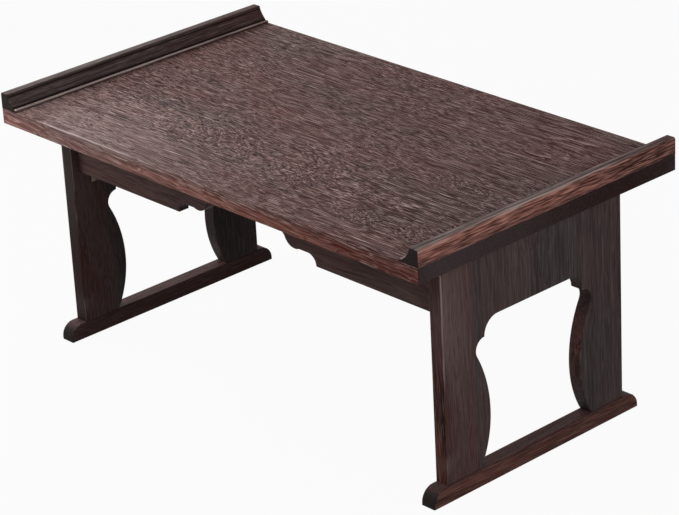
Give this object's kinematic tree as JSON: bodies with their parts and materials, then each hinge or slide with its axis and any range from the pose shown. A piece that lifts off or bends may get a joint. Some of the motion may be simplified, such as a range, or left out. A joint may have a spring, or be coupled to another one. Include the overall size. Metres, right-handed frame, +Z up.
{
  "type": "folding low table",
  "caption": "Low rectangular table with raised end lips, cusped aprons and pierced leg panels on sled feet that fold flat underneath on butt hinges.",
  "frame": {"origin": "on the floor, under the middle of the top, legs unfolded", "axes": "+X along the top towards the right end, +Y from front to back, +Z up"},
  "size_m": [0.7, 0.4, 0.328],
  "materials": {
    "top_wood": "roasted, brushed, thin wax",
    "lip_wood": "roasted, brushed, thin wax",
    "leg_wood": "roasted, brushed, thin wax",
    "foot_wood": "roasted, brushed, thin wax",
    "apron_wood": "roasted, brushed, thin wax",
    "frame_wood": "roasted, brushed, thin wax",
    "dowel_wood": "bare beech",
    "hinge_steel": "dull plated steel",
    "screw_steel": "dull plated steel"
  },
  "bodies": {
    "table": {"back_apron": "apron_wood", "back_left_corner_block": "frame_wood", "back_right_corner_block": "frame_wood", "batten_screws": "screw_steel", "corner_block_screws": "screw_steel", "frame_dowels": "dowel_wood", "front_apron": "apron_wood", "front_left_corner_block": "frame_wood", "front_right_corner_block": "frame_wood", "left_back_hinge_pin": "hinge_steel", "left_back_hinge_rail_leaf": "hinge_steel", "left_end_batten": "frame_wood", "left_end_lip": "lip_wood", "left_front_hinge_pin": "hinge_steel", "left_front_hinge_rail_leaf": "hinge_steel", "left_hinge_rail": "frame_wood", "lip_dowels": "dowel_wood", "rail_hinge_screws": "screw_steel", "right_back_hinge_pin": "hinge_steel", "right_back_hinge_rail_leaf": "hinge_steel", "right_end_batten": "frame_wood", "right_end_lip": "lip_wood", "right_front_hinge_pin": "hinge_steel", "right_front_hinge_rail_leaf": "hinge_steel", "right_hinge_rail": "frame_wood", "top_panel": "top_wood"},
    "left_leg": {"left_back_hinge_leg_leaf": "hinge_steel", "left_foot": "foot_wood", "left_front_hinge_leg_leaf": "hinge_steel", "left_leg_hinge_screws": "screw_steel", "left_leg_panel": "leg_wood"},
    "right_leg": {"right_back_hinge_leg_leaf": "hinge_steel", "right_foot": "foot_wood", "right_front_hinge_leg_leaf": "hinge_steel", "right_leg_hinge_screws": "screw_steel", "right_leg_panel": "leg_wood"}
  },
  "joints": [
    {"name": "right_leg_fold", "type": "hinge", "parent": "table", "child": "right_leg", "pos_m": [0.2996, 0, 0.2136], "axis": [0, 1, 0], "range_deg": [0, 90]},
    {"name": "left_leg_fold", "type": "hinge", "parent": "table", "child": "left_leg", "pos_m": [-0.2996, 0, 0.2136], "axis": [0, -1, 0], "range_deg": [0, 90]}
  ]
}
